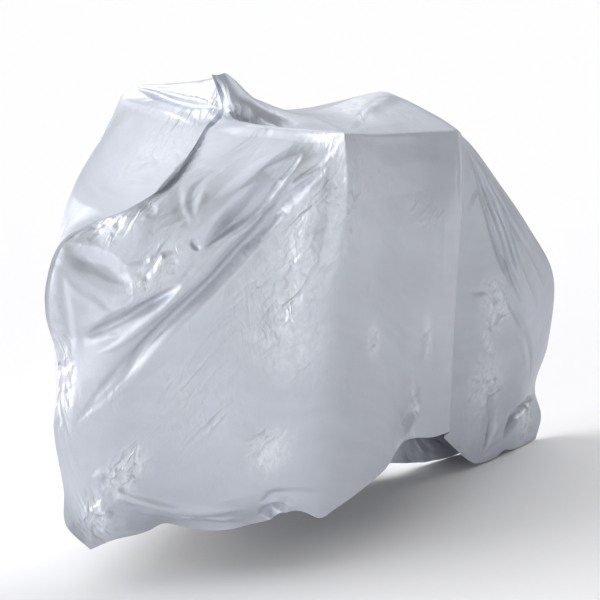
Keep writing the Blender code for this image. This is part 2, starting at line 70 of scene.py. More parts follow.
# fall lines of the near half. heading: plan direction in which the line bellies (degrees, 0 = rearward, -90 = near side)
#            heading  collar (x,y,z)        ridge (x,y,z)           chest (x,y,z)       waist hip band   hem (x,y,z)
NEAR = [
    ("nose_1",       -160, (-33.5, -3.0, 104.6), (-37.0, -10.0, 101.4), (-64.0, -12.5, 85.5), 6.0, 7.0, 6.5, (-69.0, -3.0, 8.3)),
    ("nose_2",       -135, (-32.5, -6.0, 103.4), (-33.5, -16.5, 101.8), (-53.0, -19.0, 88.5), 6.0, 8.0, 8.0, (-55.0, -6.0, 7.8)),
    ("nose_3",       -120, (-29, -9.5, 102.4), (-30.0, -23.0, 102.0), (-40.0, -26.0, 93.0), 2.0, 4.0, 5.0, (-43.0, -18.0, 10.5)),
    ("grip",         -102, (-22, -13.0, 101.4), (-26.0, -33.5, 102.5), (-25.5, -34.0, 86.0), 0.0, 1.0, 0.0, (-29.0, -29.0, 10.8)),
    ("sag",           -90, (-4.0, -13.0, 100.6), (-9.0, -27.0, 99.3), (-8.0, -28.0, 84.0), 0.0, 0.0, 0.0, (-5.0, -26.0, 15.0)),
    ("saddle_front",  -85, (13.0, -7.0, 101.0), (14.0, -18.0, 95.8), (11.0, -22.0, 82.0), 1.0, 1.0, 0.0, (5.0, -23.5, 20.0)),
    ("saddle_rear",   -70, (28.0, -4.0, 98.6), (36.0, -10.0, 92.5), (33.0, -15.5, 80.0), 0.0, 0.0, 0.0, (27.0, -18.0, 16.0)),
    ("corner",        -70, (39.0, -3.0, 94.0), (42.0, -6.5, 90.7), (40.0, -8.0, 80.0), -1.0, -2.0, -1.0, (37.5, -7.0, 9.0)),
    ("tail_1",        -60, (44.0, -2.5, 90.0), (47.0, -5.0, 85.0), (52.0, -6.0, 70.0), 0.0, 0.0, 0.0, (50.0, -7.0, -1.2)),
    ("tail_2",        -30, (48.5, -2.0, 86.6), (54.0, -4.0, 80.0), (65.5, -6.0, 61.0), 3.0, 3.0, 1.0, (68.0, -5.0, -2.0)),
]
FAR = [
    ("nose_1",        160, (-34.5, 5.0, 108.6), (-39.0, 8.0, 101.6), (-69.0, 10.5, 87.6), 6.5, 5.5, 5.0, (-68.0, 5.0, 8.5)),
    ("nose_2",        140, (-35.0, 12.0, 108.5), (-38.6, 22.5, 103.4), (-54.0, 23.0, 93.6), 5.5, 7.0, 7.0, (-56.0, 12.0, 9.0)),
    ("nose_3",        115, (-36.5, 25.0, 107.7), (-37.5, 32.5, 104.4), (-43.0, 33.5, 91.5), 3.0, 5.0, 5.0, (-44.0, 22.0, 9.0)),
    ("grip",          100, (-28.0, 18.0, 104.5), (-31.0, 31.5, 102.5), (-31.0, 33.0, 86.0), 1.0, 2.0, 2.0, (-32.0, 25.0, 8.0)),
    ("sag",            90, (-8.0, 12.0, 99.6), (-10.0, 25.0, 98.5), (-9.0, 29.0, 84.0), 2.0, 2.0, 1.0, (-9.0, 23.0, 6.5)),
    ("saddle_front",   85, (13.0, 8.0, 99.8), (13.0, 17.0, 96.0), (13.0, 22.0, 82.0), 2.0, 2.0, 1.0, (12.0, 16.0, 3.5)),
    ("saddle_rear",    80, (29.0, 4.5, 98.0), (32.0, 9.0, 93.0), (31.0, 13.0, 80.0), 1.5, 1.0, 0.5, (28.0, 5.0, 1.2)),
    ("corner",         75, (40.0, 3.5, 92.6), (43.0, 6.5, 88.0), (44.0, 8.0, 78.0), 1.0, 0.5, 0.0, (41.0, 4.0, -1.6)),
    ("tail_1",         60, (45.0, 2.6, 89.5), (49.0, 5.0, 84.0), (53.0, 7.0, 71.0), 1.0, 1.0, 0.5, (52.0, 3.5, -2.4)),
    ("tail_2",         30, (49.0, 2.2, 86.0), (54.5, 4.2, 79.5), (65.0, 6.5, 61.0), 3.0, 3.0, 1.0, (65.0, 2.5, -1.2)),
]
BELLY_AT = (0.28, 0.58, 0.90)          # how far down waist, hip and band lie between chest and hem
LEVELS = ("crown", "collar", "ridge", "chest", "waist", "hip", "band", "hem")
# the two end welds, level by level (x, y, z); extra rows follow the puckers between levels
WELD_FRONT = [
    (0.00, -36.2, 0.0, 113.0), (1.00, -33.3, 0.0, 105.0), (1.50, -34.9, 0.0, 103.4), (2.00, -39.2, -0.5, 100.5),
    (2.33, -48.6, -6.6, 97.2), (2.68, -59.7, -9.7, 91.0), (2.95, -69.4, -7.1, 86.5), (3.15, -74.2, -2.4, 84.0),
    (3.32, -80.2, 0.0, 80.5), (3.55, -84.8, 0.0, 71.5), (3.72, -85.2, 0.0, 65.5), (4.00, -82.8, 0.0, 56.0), (5.00, -84.0, 0.0, 38.0), (6.00, -81.8, 0.0, 22.6), (6.60, -81.0, 0.0, 13.2), (7.00, -75.5, -1.0, 6.8),
]
WELD_REAR = [
    (0.00, 47.0, 0.0, 89.9), (1.00, 54.2, 0.0, 84.4), (2.00, 64.2, 0.0, 74.0), (3.00, 77.6, 0.0, 59.2),
    (4.00, 89.0, 0.0, 43.0), (5.00, 87.6, 0.0, 24.0), (6.00, 82.6, 0.0, 10.6), (6.50, 84.4, -1.0, 3.4), (7.00, 80.0, -3.0, -2.2),
]

# how sharply the film turns (0 soft, 1 a corner): over each fall line, at the ridge and at the hem
LINE_TURNS = [
    ("weld_front", 0.0, 0.0), ("nose_1", 0.2, 0.2), ("nose_2", 0.2, 0.2), ("nose_3", 0.6, 0.3), ("grip", 0.9, 0.0),
    ("sag", 0.1, 0.1), ("saddle_front", 0.1, 0.1), ("saddle_rear", 0.3, 0.2), ("corner", 0.9, 0.7),
    ("tail_1", 0.3, 0.3), ("tail_2", 0.3, 0.3), ("weld_rear", 0.0, 0.0),
]
# and across each level of a fall line
LEVEL_TURNS = [
    ("crown", 0.0), ("collar", 0.4), ("ridge", 0.8), ("chest", 0.3), ("waist", 0.2), ("hip", 0.2), ("band", 0.3),
    ("hem", 0.0),
]

# where the hem hitches up (plus) or hangs down (minus): at which fall line, how far to either side, cm
NEAR_HITCHES = [
    ("front_hitch", 1.85, 0.28, 1.4), ("belly_sag", 2.65, 0.55, -2.4), ("notch_hitch", 3.66, 0.25, 2.4),
    ("tip_sag", 4.02, 0.14, -1.0), ("curtain_sag", 6.6, 0.30, -1.0), ("tail_hitch", 9.75, 0.16, 1.0),
]
FAR_HITCHES = [
    ("front_hitch", 1.4, 0.40, 1.5), ("grip_sag", 3.2, 0.35, -1.8), ("middle_hitch", 4.6, 0.45, 2.0),
    ("saddle_sag", 6.0, 0.30, -1.0), ("tail_hitch", 10.2, 0.25, 1.0),
]


def spline(t_knots, values, t, crisp=None):
    """Cubic through values at rising knots. A knot is smooth, or turns more sharply as its crispness goes to 1."""
    k = np.asarray(t_knots, float)
    v = np.asarray(values, float)
    t = np.atleast_1d(np.asarray(t, float))
    step = np.diff(k)[:, None]
    slope = np.diff(v, axis=0) / step
    m = np.empty_like(v)
    m[0], m[-1] = slope[0], slope[-1]
    m[1:-1] = (step[1:] * slope[:-1] + step[:-1] * slope[1:]) / (step[1:] + step[:-1])
    arrive, leave = m.copy(), m.copy()
    if crisp is not None:
        arrive[1:] += crisp[1:] * (slope - m[1:])
        leave[:-1] += crisp[:-1] * (slope - m[:-1])
    i = np.clip(np.searchsorted(k, t, side="right") - 1, 0, len(k) - 2)
    h = (k[i + 1] - k[i])[:, None]
    s = ((t - k[i])[:, None]) / h
    return ((2 * s**3 - 3 * s**2 + 1) * v[i] + (s**3 - 2 * s**2 + s) * h * leave[i]
            + (3 * s**2 - 2 * s**3) * v[i + 1] + (s**3 - s**2) * h * arrive[i + 1])


def weld_line(rows, v):
    return spline([r[0] for r in rows], [r[1:] for r in rows], v)


def fall_lines(rows):
    """Eight level points on each fall line, from the front weld to the rear weld."""
    levels = np.arange(len(LEVELS), dtype=float)
    lines = [weld_line(WELD_FRONT, levels)]
    for (name, heading, collar, ridge, chest, waist, hip, band, hem), (_, cx, cz) in zip(rows, CROWN[1:-1]):
        out = np.array([math.cos(math.radians(heading)), math.sin(math.radians(heading)), 0.0])
        chest, hem = np.array(chest), np.array(hem)
        pts = [(cx, 0.0, cz), collar, ridge, chest]
        pts += [chest + (hem - chest) * f + out * b for f, b in zip(BELLY_AT, (waist, hip, band))]
        pts.append(hem)
        lines.append(np.array(pts, float))
    lines.append(weld_line(WELD_REAR, levels))
    return np.array(lines)


def film(rows, u, v):
    """Base drape of one half: u counts fall lines from the front weld, v counts levels from the crown. Metres."""
    u, v = np.asarray(u, float), np.asarray(v, float)
    lines = fall_lines(rows)
    levels = np.arange(lines.shape[1], dtype=float)
    n = len(lines) - 1
    level_turns = np.array([turn for _, turn in LEVEL_TURNS])[:, None]
    cols = np.array([spline(levels, line, v, level_turns) for line in lines])
    pucker_f = weld_line(WELD_FRONT, v) - cols[0]
    pucker_r = weld_line(WELD_REAR, v) - cols[-1]
    lower = np.clip((v - 2.0) / 1.6, 0, 1)
    line_turns = np.array([top + (bottom - top) * lower for _, top, bottom in LINE_TURNS])
    s = spline(np.arange(n + 1), cols.reshape(n + 1, -1), u, np.repeat(line_turns, 3, axis=1))
    s = s.reshape(len(u), len(v), 3)
    s += (np.clip(1 - u, 0, 1) ** 2)[:, None, None] * pucker_f
    s += (np.clip(1 - (n - u), 0, 1) ** 2)[:, None, None] * pucker_r
    low = np.clip((v - 5.4) / 1.6, 0, 1) ** 2
    for name, at, reach, rise in NEAR_HITCHES if rows is NEAR else FAR_HITCHES:
        s[..., 2] += rise * np.exp(-(((u - at) / reach) ** 2))[:, None] * low
    return s * CM


def film_at(rows, path):
    """Points of the base drape under a path of (u, v) pairs."""
    return np.array([film(rows, [a], [b])[0, 0] for a, b in path])


def outward(grid, side):
    """Unit normals of a film grid, pointing away from the bicycle. side is -1 near, +1 far."""
    du = np.gradient(grid, axis=0)
    dv = np.gradient(grid, axis=1)
    n = np.cross(dv, du) if side < 0 else np.cross(du, dv)
    length = np.linalg.norm(n, axis=2, keepdims=True)
    return n / np.maximum(length, 1e-9)


# folds: half, height in cm (minus is a trough), width to left and right in cm, roundness, way points (fall line, level)
FOLDS = [
    ("behind_bar_near", "near", -2.0, 1.6, 2.0, 1.3, [(0.96, 0.86), (2.6, 0.7), (3.26, 0.72), (3.7, 0.88), (3.6, 1.36)]),
    ("front_seam", "near", -0.2, 1.2, 1.8, 1.3, [(0.18, 2.02), (0.28, 2.2), (0.44, 2.32), (0.66, 2.46), (0.86, 2.58)]),
    ("nose_hollow", "near", -0.7, 1.6, 1.6, 1.3, [(0.0, 3.32), (0.26, 3.4), (0.52, 3.44), (0.92, 3.64)]),
    ("brow_crease", "near", -1.7, 0.66, 2.52, 1.3, [(3.24, 2.48), (3.14, 2.86), (2.96, 3.16), (2.76, 3.32), (2.54, 3.38), (2.28, 3.42), (2.02, 3.46)]),
    ("brow_wedge", "near", -0.96, 1.6, 1.4, 1.3, [(1.7, 3.78), (1.48, 3.84), (1.24, 3.92), (0.94, 4.0), (0.68, 4.0), (0.44, 4.02)]),
    ("upper_valley", "near", -0.8, 1.2, 1.2, 1.3, [(3.84, 2.16), (3.36, 2.76), (3.12, 3.14), (2.84, 3.36)]),
    ("long_ridge", "near", 0.7, 1.28, 1.44, 1.3, [(3.92, 2.1), (3.32, 2.88), (2.84, 3.32), (2.34, 3.56), (2.06, 3.72), (1.72, 3.88), (1.38, 4.04), (0.92, 4.24), (0.6, 4.26)]),
    ("long_valley", "near", -1.2, 1.28, 1.92, 1.6, [(3.8, 2.28), (3.34, 3.04), (2.92, 3.5), (2.56, 3.64), (2.16, 3.84), (1.88, 3.96), (1.48, 4.2), (1.12, 4.5), (0.72, 4.74), (0.32, 5.02)]),
    ("centre_ridge", "near", 0.7, 1.8, 1.8, 1.3, [(3.76, 2.4), (3.56, 2.96), (3.44, 3.44), (3.4, 3.9)]),
    ("centre_valley", "near", -0.9, 1.8, 1.8, 1.3, [(3.94, 2.26), (3.8, 2.86), (3.72, 3.44), (3.64, 3.84)]),
    ("low_valley", "near", -0.4, 2.0, 2.0, 1.3, [(3.08, 4.04), (3.1, 4.24), (3.24, 4.62), (3.44, 4.74), (3.78, 4.8)]),
    ("belly_edge", "near", 0.8, 1.4, 1.2, 1.4, [(1.04, 5.68), (1.54, 5.84), (1.96, 5.98), (2.48, 6.16), (2.94, 6.28)]),
    ("belly_under", "near", -2.2, 2.0, 2.6, 1.3, [(1.02, 5.84), (1.52, 6.12), (2.0, 6.68), (2.48, 6.78), (2.96, 6.84)]),
    ("notch", "near", -3.0, 1.8, 2.0, 1.3, [(3.35, 6.25), (3.35, 7.0)]),
    ("bar_to_saddle", "near", 1.0, 1.4, 1.4, 1.3, [(4.88, 1.14), (5.6, 0.98), (6.16, 0.74), (6.88, 0.18)]),
    ("curtain_ridge", "near", 1.4, 1.4, 1.8, 1.3, [(6.26, 5.6), (6.2, 5.88), (6.04, 6.32), (5.56, 7.0)]),
    ("tail_valley_a", "near", -1.5, 1.5, 1.5, 1.3, [(9.0, 1.9), (9.2, 2.25), (9.15, 2.75), (9.25, 3.05), (9.4, 3.35), (9.65, 3.7), (9.9, 4.15)]),
    ("tail_ridge", "near", 0.8, 1.2, 1.2, 1.3, [(9.4, 2.0), (9.6, 2.3), (9.65, 2.7), (9.7, 3.15), (10.0, 3.65), (10.25, 4.15)]),
    ("tail_valley_b", "near", -1.2, 1.4, 1.4, 1.3, [(9.6, 2.1), (9.7, 2.5), (9.8, 2.8), (9.9, 3.25), (10.15, 3.8), (10.35, 4.3)]),
    ("tip_valley", "near", -1.2, 1.5, 1.5, 1.3, [(9.24, 5.32), (9.34, 5.56), (9.32, 5.88), (9.14, 6.6)]),
    ("corner_slit", "near", -2.4, 1.3, 1.6, 1.3, [(10.82, 5.96), (10.06, 5.76), (9.8, 5.92), (9.64, 6.2)]),
    ("far_upper_valley", "far", -1.3, 1.5, 1.5, 1.3, [(3.0, 2.3), (2.55, 2.7), (2.0, 3.1), (1.4, 3.4), (0.8, 3.6)]),
    ("far_long_ridge", "far", 1.1, 1.6, 1.6, 1.3, [(3.5, 2.2), (3.1, 2.75), (2.6, 3.25), (2.0, 3.7), (1.3, 4.05), (0.7, 4.3)]),
    ("far_long_valley", "far", -1.8, 1.8, 1.8, 1.3, [(3.6, 2.3), (3.3, 2.9), (2.8, 3.5), (2.2, 3.95), (1.5, 4.5), (0.8, 5.15)]),
    ("far_drop", "far", -1.1, 2.2, 2.2, 1.3, [(3.95, 2.2), (4.1, 3.0), (4.3, 4.0), (4.35, 5.1)]),
    ("far_sag_valley", "far", -1.3, 2.4, 2.4, 1.3, [(6.6, 1.9), (6.1, 2.7), (5.7, 3.7), (5.45, 5.0), (5.4, 6.0)]),
    ("far_corner_valley", "far", -1.3, 1.8, 1.8, 1.3, [(8.2, 2.0), (8.0, 2.9), (7.9, 3.9), (7.9, 5.2)]),
    ("far_tail_valley_a", "far", -1.3, 1.5, 1.5, 1.3, [(8.9, 1.9), (9.2, 2.5), (9.35, 3.1), (9.6, 3.8), (9.8, 4.5)]),
    ("far_tail_valley_b", "far", -1.1, 1.5, 1.5, 1.3, [(9.5, 1.95), (9.75, 2.6), (9.95, 3.3), (10.3, 3.95)]),
    ("far_tip_valley", "far", -1.2, 1.6, 1.6, 1.3, [(9.5, 5.0), (9.65, 5.7), (9.7, 6.4), (9.75, 7.0)]),
    ("far_hem_gather_a", "far", -1.8, 2.2, 2.2, 1.3, [(2.7, 6.1), (2.55, 7.0)]),
    ("far_hem_gather_b", "far", -1.8, 2.4, 2.4, 1.3, [(6.6, 6.0), (6.45, 7.0)]),
]


# small folds, as above
FINE = [
    ("ear_shade", "near", -0.54, 0.8, 0.8, 1.1, [(0.4, 0.16), (0.24, 0.46), (0.0, 0.84)]),
    ("ear_front", "far", 0.35, 0.9, 0.8, 1.1, [(1.2, 0.7), (0.72, 0.96), (0.28, 1.08)]),
    ("far_valley_a", "far", -2.2, 0.5, 0.8, 1.1, [(3.0, 1.28), (2.02, 1.5), (1.02, 1.5), (0.16, 1.2)]),
    ("far_ridge_a", "far", 0.7, 0.5, 0.6, 1.1, [(2.5, 1.3), (1.42, 1.36), (0.36, 1.2)]),
    ("far_valley_b", "far", -0.7, 0.5, 0.7, 1.1, [(2.84, 1.14), (2.24, 1.2), (1.32, 1.28), (0.8, 1.24)]),
    ("far_front_edge", "far", 0.7, 1.4, 1.6, 1.1, [(2.68, 2.04), (1.7, 2.0), (1.08, 1.96), (0.24, 1.96)]),
    ("bar_valley", "near", -2.2, 0.9, 2.8, 1.1, [(0.32, 1.04), (2.4, 0.8), (3.08, 0.88), (3.36, 1.2), (3.62, 1.6)]),
    ("bar_light", "near", 0.35, 0.7, 0.6, 1.1, [(2.52, 0.8), (3.28, 0.84), (3.6, 1.4)]),
    ("bar_second", "near", -0.27, 0.8, 0.7, 1.1, [(3.24, 0.76), (3.7, 0.88), (3.68, 1.24)]),
    ("ear_foot", "near", 0.23, 0.7, 0.7, 1.1, [(0.64, 0.82), (2.24, 0.68), (3.44, 0.56)]),
    ("front_edge", "near", 0.7, 1.6, 1.4, 1.1, [(0.08, 1.96), (1.2, 1.96), (2.4, 2.02), (3.26, 2.06), (3.9, 2.04)]),
    ("saddle_ridge", "near", 0.27, 0.9, 0.9, 1.1, [(4.96, 1.1), (5.64, 0.94), (6.16, 0.7), (6.52, 0.36)]),
    ("saddle_left_ridge", "near", 0.27, 0.8, 0.8, 1.1, [(4.54, 0.66), (4.44, 1.1), (4.16, 1.84)]),
    ("grip_right_ridge", "near", 0.095, 1.2, 1.2, 1.1, [(4.2, 1.98), (5.04, 2.04), (5.88, 2.08), (7.04, 2.04)]),
    ("far_brow", "far", -0.3, 1.8, 1.8, 1.1, [(0.56, 2.42), (0.38, 2.6), (0.16, 2.8)]),
    ("far_star", "far", -0.15, 1, 1, 1.1, [(1.2, 2.28), (0.44, 2.32), (0.02, 2.46)]),
    ("far_star_b", "far", 0.15, 0.8, 0.8, 1.1, [(1.0, 2.28), (0.36, 2.46), (0.1, 2.6)]),
    ("knuckle", "near", -0.34, 0.8, 1, 1.1, [(0.28, 2.86), (0.66, 2.88), (1.0, 2.96)]),
    ("knuckle_b", "near", 0.23, 0.7, 0.7, 1.1, [(0.36, 2.92), (0.68, 2.96), (0.92, 3.0)]),
    ("nose_lip", "near", 0.56, 0.6, 0.9, 1.1, [(0.36, 3.06), (0.12, 3.06), (0.0, 3.08), (0.0, 3.16), (0.04, 3.28)]),
    ("nose_tri_a", "near", -0.5, 0.6, 0.6, 1.1, [(0.14, 3.04), (0.12, 3.12), (0.1, 3.2)]),
    ("nose_tri_b", "near", 0.4, 0.5, 0.6, 1.1, [(0.36, 3.08), (0.24, 3.16), (0.16, 3.2)]),
    ("cheek_line", "far", -0.15, 0.8, 0.8, 1.1, [(1.0, 2.92), (0.8, 2.8), (0.6, 2.84), (0.28, 2.84)]),
    ("hollow_left", "near", -0.455, 2.2, 2, 1.1, [(0.06, 3.32), (0.28, 3.4), (0.58, 3.52), (1.08, 3.72)]),
    ("hollow_line", "near", 0.27, 0.8, 0.8, 1.1, [(0.16, 3.52), (0.32, 3.64), (0.72, 3.88)]),
    ("weld_dark", "near", -0.54, 0.8, 0.9, 1.1, [(0.12, 3.5), (0.16, 3.6), (0.2, 3.78), (0.2, 3.96), (0.2, 4.14)]),
    ("small_nick", "near", -0.19, 0.5, 0.5, 1.1, [(0.12, 4.5), (0.28, 4.52)]),
    ("knot_top", "near", -0.21, 0.7, 1.3, 1.1, [(0.68, 2.52), (1.28, 2.84), (1.68, 3.16), (1.8, 3.3)]),
    ("pocket_arc", "near", -0.189, 0.9, 0.7, 1.1, [(0.72, 2.54), (0.64, 2.48), (0.88, 2.4), (1.46, 2.48), (1.88, 2.64)]),
    ("pocket_inner", "near", -0.238, 1.6, 0.7, 1.1, [(1.44, 2.6), (1.44, 2.76), (1.8, 3.14)]),
    ("pocket_light", "near", 0.161, 0.8, 0.7, 1.1, [(1.64, 2.74), (1.8, 3.0), (1.84, 3.24)]),
    ("knot_ridge", "near", 0.368, 1.6, 1.8, 1.1, [(1.82, 3.3), (2.02, 3.2), (2.28, 3.08), (2.6, 2.86), (2.88, 2.44)]),
    ("knot_notch", "near", -0.63, 0.5, 0.6, 1.1, [(1.8, 3.34), (1.96, 3.48)]),
    ("knot_curve", "near", -0.2, 0.7, 0.9, 1.1, [(1.96, 3.48), (1.84, 3.6), (1.68, 3.72)]),
    ("hand_back", "near", -0.378, 0.7, 1, 1.1, [(1.78, 3.34), (1.48, 3.4), (1.24, 3.42), (0.84, 3.44), (0.76, 3.44)]),
    ("hand_thumb", "near", -0.27, 0.7, 0.7, 1.1, [(0.76, 3.44), (0.8, 3.52), (1.08, 3.58), (1.24, 3.68)]),
    ("hand_line", "near", 0.345, 0.6, 0.6, 1.1, [(1.12, 3.48), (1.44, 3.42)]),
    ("hand_star", "near", 0.36, 0.7, 0.7, 1.1, [(1.36, 3.4), (1.36, 3.54), (1.28, 3.64)]),
    ("hand_star_b", "near", -0.36, 0.8, 0.7, 1.1, [(1.48, 3.46), (1.56, 3.56), (1.48, 3.66)]),
    ("hand_top", "near", 0.172, 0.8, 0.8, 1.1, [(1.64, 3.32), (1.8, 3.44), (1.8, 3.56)]),
    ("hand_nick", "near", -0.27, 0.5, 0.5, 1.1, [(1.14, 3.68), (1.2, 3.76)]),
    ("d1", "near", -0.72, 0.7, 2.6, 1.1, [(3.24, 2.48), (3.12, 2.92), (2.96, 3.16), (2.72, 3.32), (2.36, 3.4), (2.0, 3.48)]),
    ("d2", "near", 0.5, 0.8, 1.4, 1.1, [(3.98, 2.06), (3.3, 2.76), (2.74, 3.36), (2.32, 3.5), (1.86, 3.74), (1.48, 3.98), (1.0, 4.24), (0.6, 4.26)]),
    ("d3", "near", -0.72, 1.6, 0.9, 1.1, [(3.92, 2.2), (3.4, 2.92), (2.9, 3.44), (2.5, 3.68), (2.06, 3.88), (1.64, 4.12), (1.26, 4.38), (1.02, 4.64), (0.44, 4.94)]),
    ("d3b", "near", -0.27, 0.6, 0.7, 1.1, [(1.8, 3.98), (1.48, 4.2), (1.1, 4.42), (0.52, 4.8)]),
    ("d3c", "near", 0.23, 0.6, 0.6, 1.1, [(1.2, 4.44), (0.88, 4.66), (0.52, 4.88)]),
    ("d3_light", "near", 0.27, 1.2, 0.7, 1.1, [(3.72, 2.54), (3.24, 3.32), (2.72, 3.72), (2.24, 3.94)]),
    ("d3_soft", "near", -0.19, 1.8, 1.4, 1.1, [(1.9, 4.42), (1.32, 4.7), (0.88, 4.88)]),
    ("d4", "near", -0.27, 0.7, 0.7, 1.1, [(3.84, 2.18), (3.36, 2.76), (3.12, 3.14), (2.84, 3.36)]),
    ("d4_light", "near", 0.23, 0.6, 0.6, 1.1, [(3.8, 2.32), (3.44, 2.8), (3.16, 3.22)]),
    ("d5_edge", "near", 0.378, 0.7, 2.4, 1.1, [(1.68, 3.72), (1.26, 3.84), (0.72, 3.88), (0.56, 3.92), (0.28, 3.92)]),
    ("d5", "near", -0.84, 1.4, 0.9, 1.1, [(1.72, 3.78), (1.4, 3.88), (1.0, 4.0), (0.68, 4.02), (0.32, 4.0)]),
    ("d5_light", "near", 0.23, 0.7, 0.7, 1.1, [(1.72, 3.84), (1.48, 3.96), (1.2, 4.04), (0.92, 4.08), (0.56, 4.1)]),
    ("lens_dark", "near", -0.34, 1.4, 1.4, 1.1, [(0.2, 3.96), (0.46, 4.0), (0.76, 4.02)]),
    ("streak_a", "near", 0.27, 1, 1, 1.1, [(4.04, 2.2), (3.86, 2.58), (3.74, 3.24)]),
    ("streak_b", "near", -0.19, 0.9, 0.9, 1.1, [(3.94, 2.28), (3.8, 2.86), (3.72, 3.46), (3.64, 3.68)]),
    ("streak_c", "near", 0.19, 0.8, 0.8, 1.1, [(3.88, 3.74), (3.8, 3.96)]),
    ("streak_d", "near", 0.15, 1, 1, 1.1, [(4.16, 2.24), (4.24, 2.8), (4.44, 3.4)]),
    ("streak_e", "near", 0.19, 1.4, 1.2, 1.1, [(4.04, 2.4), (3.98, 2.94), (3.94, 3.52), (3.86, 4.06)]),
    ("arc_a", "near", 0.11, 0.5, 0.8, 1.1, [(3.32, 4.2), (3.5, 4.12), (3.72, 4.06)]),
    ("arc_b", "near", 0.11, 0.5, 0.8, 1.1, [(3.06, 4.34), (3.28, 4.28), (3.44, 4.2)]),
    ("centre_nick", "near", -0.15, 0.5, 0.7, 1.1, [(3.1, 4.04), (3.12, 4.16)]),
    ("centre_hook", "near", -0.065, 0.5, 0.8, 1.1, [(3.4, 4.56), (3.48, 4.74), (3.56, 4.8), (3.78, 4.8)]),
    ("centre_nick_b", "near", -0.11, 0.5, 0.6, 1.1, [(3.0, 4.84), (3.18, 4.94)]),
    ("centre_patch", "near", 0.13, 0.8, 0.6, 1.1, [(3.04, 4.52), (3.12, 4.58), (3.2, 4.64)]),
    ("right_edge", "near", -0.19, 0.8, 0.8, 1.1, [(7.0, 2.24), (6.92, 3.0), (6.98, 3.8)]),
    ("s_fold", "near", 0.4, 0.8, 0.8, 1.1, [(6.26, 5.6), (6.26, 5.8), (6.18, 5.98), (6.04, 6.36), (5.88, 6.72), (5.52, 7.0)]),
    ("s_fold_dark", "near", -0.15, 1, 0.8, 1.1, [(6.36, 5.66), (6.36, 5.84), (6.28, 6.08), (6.18, 6.58), (6.08, 7.0)]),
    ("rear_line", "near", -0.11, 0.5, 0.6, 1.1, [(8.58, 5.64), (8.76, 5.56), (8.94, 5.52)]),
    ("tail_light_a", "near", 0.7, 0.7, 0.9, 1.1, [(9.24, 2.04), (9.2, 2.82), (9.5, 3.44), (9.78, 4.12)]),
    ("tail_dark_a", "near", -0.8, 0.6, 0.8, 1.1, [(9.42, 2.1), (9.4, 2.76), (9.68, 3.44), (9.98, 4.12)]),
    ("tail_light_b", "near", 0.7, 0.6, 0.8, 1.1, [(9.7, 2.1), (9.78, 2.76), (10.0, 3.26), (10.24, 3.94)]),
    ("tail_dark_b", "near", -0.8, 0.6, 0.8, 1.1, [(9.9, 2.1), (10.0, 2.8), (10.42, 3.38), (10.64, 4.12)]),
    ("tail_light_c", "near", 0.5, 0.6, 0.7, 1.1, [(10.2, 2.2), (10.5, 2.74), (10.84, 3.4)]),
    ("tail_low_dark", "near", -0.7, 0.7, 0.9, 1.1, [(9.44, 4.0), (9.78, 4.32), (10.2, 4.92), (10.3, 5.4)]),
    ("tail_low_light", "near", 0.5, 0.6, 0.9, 1.1, [(9.36, 3.92), (9.6, 4.32), (9.92, 4.8), (10.14, 5.26)]),
    ("tail_glint", "near", 0.35, 0.6, 0.6, 1.1, [(8.52, 3.3), (8.68, 3.06), (9.02, 2.72)]),
    ("rear_facet", "near", 0.5, 0.5, 1.6, 1.1, [(9.52, 4.32), (9.32, 4.62), (9.18, 4.84), (9.08, 5.08)]),
    ("rear_facet_foot", "near", -0.3, 0.6, 0.6, 1.1, [(8.88, 4.9), (9.0, 5.0), (9.08, 5.1)]),
    ("rear_knob", "near", 0.3, 0.7, 0.7, 1.1, [(9.36, 4.2), (9.52, 4.26), (9.56, 4.36)]),
    ("rear_crease_a", "near", -0.28, 0.4, 0.6, 1.1, [(8.64, 4.3), (9.0, 4.16), (9.3, 4.12)]),
    ("rear_crease_b", "near", -0.2, 0.4, 0.6, 1.1, [(8.74, 5.2), (9.0, 5.16), (9.22, 5.16)]),
    ("rear_crease_c", "near", 0.4, 0.5, 0.9, 1.1, [(8.8, 5.32), (9.16, 5.3), (9.58, 5.24)]),
    ("rear_fan_a", "near", 0.6, 0.6, 0.7, 1.1, [(9.12, 5.56), (9.24, 5.8), (9.14, 6.6)]),
    ("rear_fan_b", "near", 0.5, 0.6, 0.7, 1.1, [(8.64, 5.64), (8.78, 5.96), (8.98, 6.64)]),
    ("rear_fan_c", "near", -0.7, 0.6, 0.8, 1.1, [(9.52, 5.5), (9.36, 5.8), (9.16, 6.6)]),
    ("rear_fan_d", "near", 0.4, 0.5, 0.6, 1.1, [(8.28, 6.96), (8.6, 6.84), (8.94, 6.84)]),
    ("panel_level", "near", -0.42, 4, 4, 1.1, [(4.0, 3.0), (5.4, 3.0), (6.6, 3.0), (7.8, 3.0), (9.0, 3.0)]),
    ("panel_streak_a", "near", 0.35, 0.8, 1.0, 1.1, [(4.26, 2.28), (4.34, 2.94), (4.44, 3.48)]),
    ("panel_streak_b", "near", 0.3, 0.6, 0.6, 1.1, [(6.54, 3.26), (6.56, 3.9), (6.56, 4.44)]),
    ("panel_streak_c", "near", 0.35, 0.5, 0.6, 1.1, [(4.68, 3.92), (4.66, 4.06), (4.62, 4.2)]),
    ("panel_streak_d", "near", 0.4, 0.5, 0.6, 1.1, [(4.2, 4.88), (4.22, 5.0), (4.26, 5.14)]),
    ("panel_streak_e", "near", 0.4, 0.5, 0.6, 1.1, [(5.56, 5.72), (5.72, 5.9), (5.86, 6.24)]),
    ("panel_glint", "near", 0.5, 0.6, 0.6, 1.1, [(4.12, 3.24), (4.08, 3.4), (4.04, 3.56)]),
    ("panel_patch_a", "near", 0.5, 0.8, 0.7, 1.1, [(4.88, 4.6), (4.8, 4.74), (4.7, 4.88)]),
    ("panel_patch_b", "near", 0.6, 0.8, 0.8, 1.1, [(6.36, 4.92), (6.28, 5.08), (6.24, 5.32)]),
